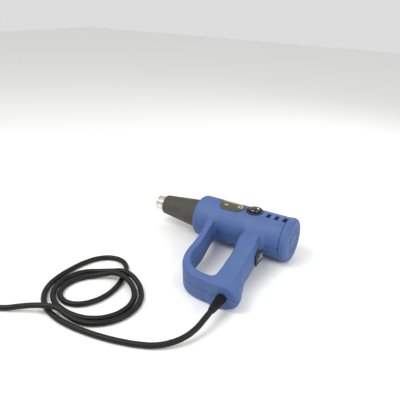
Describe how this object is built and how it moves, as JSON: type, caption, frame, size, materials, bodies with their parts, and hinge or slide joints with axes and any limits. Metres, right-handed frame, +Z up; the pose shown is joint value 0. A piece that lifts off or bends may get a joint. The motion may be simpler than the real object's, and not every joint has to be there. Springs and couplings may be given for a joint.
{
  "type": "heat gun",
  "caption": "Corded hot-air gun with a steel outlet, dark barrel sleeve, blue clamshell body, closed D-handle, temperature dial and rocker switch, lying on its side.",
  "frame": {"origin": "bottom centre of the box of the gun without its cord, on the surface that it lies on", "axes": "+X from the outlet to the rear face along the barrel, +Y towards the gun's top, away from the handle, +Z up, out of the gun's left side, which faces up"},
  "size_m": [0.5227, 0.4706, 0.0856],
  "materials": {
    "blue_case": "fine moulded matt texture",
    "dark_sleeve": "matt heat-resistant moulding",
    "black_plastic": "smooth moulded",
    "label_film": "satin printed plate",
    "vent_plastic": "dark moulded insert",
    "steel": "drawn and polished",
    "heater_wire": "oxidised resistance wire",
    "ceramic": "unglazed ceramic",
    "mica": "rolled mica sheet",
    "board": "printed circuit board",
    "filter_foam": "open-cell foam",
    "cord_rubber": "satin rubber sheath",
    "brass": "bright brass"
  },
  "bodies": {
    "gun": {"housing_left": "blue_case", "housing_right": "blue_case", "rear_cap": "blue_case", "barrel_sleeve": "dark_sleeve", "motor_end_cap": "black_plastic", "motor_bracket": "black_plastic", "dial_bezel": "black_plastic", "switch_body": "black_plastic", "cord_clamp": "black_plastic", "plug_body": "black_plastic", "label_plate": "label_film", "vent_insert": "vent_plastic", "outlet_tube": "steel", "thermal_cutout": "steel", "motor_can": "steel", "potentiometer": "steel", "clamp_screw_1": "steel", "clamp_screw_2": "steel", "housing_screw_1": "steel", "housing_screw_2": "steel", "housing_screw_3": "steel", "housing_screw_4": "steel", "housing_screw_5": "steel", "housing_screw_6": "steel", "housing_screw_7": "steel", "housing_screw_8": "steel", "heating_coil": "heater_wire", "heater_core": "ceramic", "heater_flange": "ceramic", "terminal_block": "ceramic", "mica_liner": "mica", "control_board": "board", "dust_filter": "filter_foam", "strain_relief": "cord_rubber", "inner_cord": "cord_rubber", "power_cord": "cord_rubber", "cord_coil": "cord_rubber", "cord_tail": "cord_rubber", "live_lead": "brass", "neutral_lead": "brass", "plug_pin_1": "brass", "plug_pin_2": "brass"},
    "fan": {"motor_shaft": "steel", "fan_impeller": "black_plastic"},
    "dial": {"dial_knob": "black_plastic", "pot_shaft": "steel"},
    "rocker": {"switch_rocker": "black_plastic"}
  },
  "joints": [
    {"name": "fan_spin", "type": "hinge", "parent": "gun", "child": "fan", "pos_m": [0.09225, 0.07709, 0.04], "axis": [1, 0, 0], "continuous": true},
    {"name": "dial_turn", "type": "hinge", "parent": "gun", "child": "dial", "pos_m": [0.06575, 0.07476, 0.07824], "axis": [0, -0.0868, 0.9962], "range_deg": [-135, 135]},
    {"name": "switch_rock", "type": "hinge", "parent": "gun", "child": "rocker", "pos_m": [0.10775, 0.00237, 0.03349], "axis": [0, -0.0868, 0.9962], "range_deg": [-11, 11]}
  ]
}
